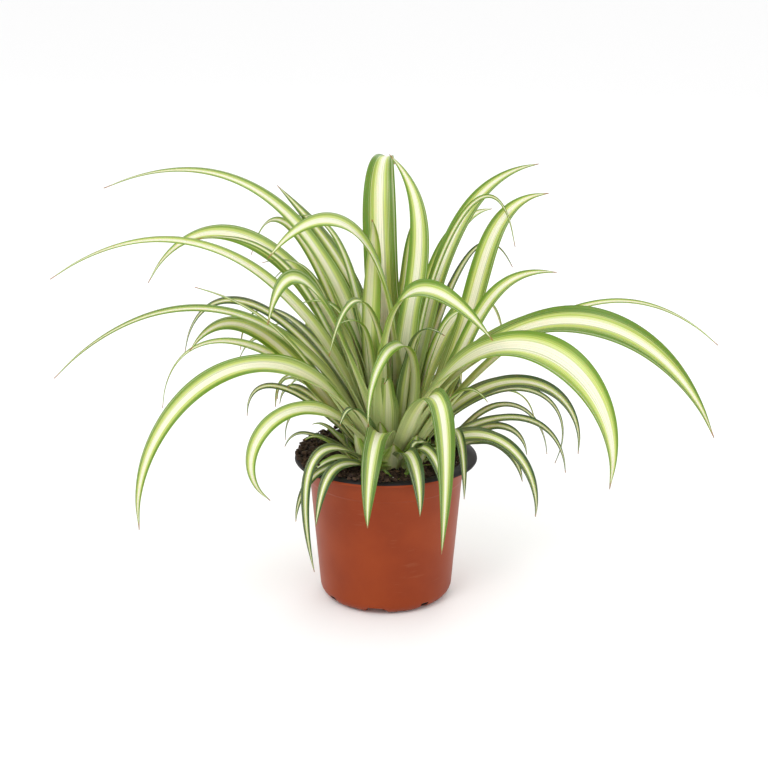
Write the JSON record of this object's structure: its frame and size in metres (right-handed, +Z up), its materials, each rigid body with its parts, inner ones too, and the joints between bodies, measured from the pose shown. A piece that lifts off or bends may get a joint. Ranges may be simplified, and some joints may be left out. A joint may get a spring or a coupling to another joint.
{
  "type": "potted spider plant",
  "caption": "Variegated spider plant with long arching striped leaves in a round terracotta-coloured nursery pot of soil.",
  "frame": {"origin": "middle of the pot's flat underside, on the surface it stands on", "axes": "+Z up along the pot's axis, +X to the plant's right seen from the front, front faces -Y"},
  "size_m": [0.4186, 0.2495, 0.287],
  "materials": {
    "pot": "satin",
    "soil": "rough",
    "crown": "satin",
    "leaf": "satin"
  },
  "bodies": {
    "root": {"crown": "crown", "leaf_back_1": "leaf", "leaf_back_2": "leaf", "leaf_back_3": "leaf", "leaf_back_4": "leaf", "leaf_back_5": "leaf", "leaf_back_6": "leaf", "leaf_back_tall_1": "leaf", "leaf_back_tall_2": "leaf", "leaf_front_1": "leaf", "leaf_front_2": "leaf", "leaf_front_3": "leaf", "leaf_front_4": "leaf", "leaf_front_5": "leaf", "leaf_front_tall_1": "leaf", "leaf_front_tall_2": "leaf", "leaf_front_tall_3": "leaf", "leaf_front_tall_4": "leaf", "leaf_front_tall_5": "leaf", "leaf_left_front_1": "leaf", "leaf_left_front_2": "leaf", "leaf_left_front_3": "leaf", "leaf_left_high_1": "leaf", "leaf_left_high_2": "leaf", "leaf_left_high_3": "leaf", "leaf_left_high_4": "leaf", "leaf_left_long_1": "leaf", "leaf_left_long_2": "leaf", "leaf_left_long_3": "leaf", "leaf_left_low_1": "leaf", "leaf_left_low_2": "leaf", "leaf_left_low_3": "leaf", "leaf_left_low_4": "leaf", "leaf_left_low_5": "leaf", "leaf_left_mid_1": "leaf", "leaf_left_mid_2": "leaf", "leaf_left_mid_3": "leaf", "leaf_left_mid_4": "leaf", "leaf_left_mid_5": "leaf", "leaf_right_high_1": "leaf", "leaf_right_high_2": "leaf", "leaf_right_high_3": "leaf", "leaf_right_high_4": "leaf", "leaf_right_low_1": "leaf", "leaf_right_low_2": "leaf", "leaf_right_low_3": "leaf", "leaf_right_low_4": "leaf", "leaf_right_mid_1": "leaf", "leaf_right_mid_2": "leaf", "leaf_right_mid_3": "leaf", "leaf_right_mid_4": "leaf", "leaf_shoot_front": "leaf", "leaf_shoot_left": "leaf", "leaf_shoot_right_1": "leaf", "leaf_shoot_right_2": "leaf", "leaf_shoot_right_3": "leaf", "leaf_shoot_upright": "leaf", "pot": "pot", "potting_soil": "soil", "side_shoot_crown": "crown"}
  },
  "joints": []
}
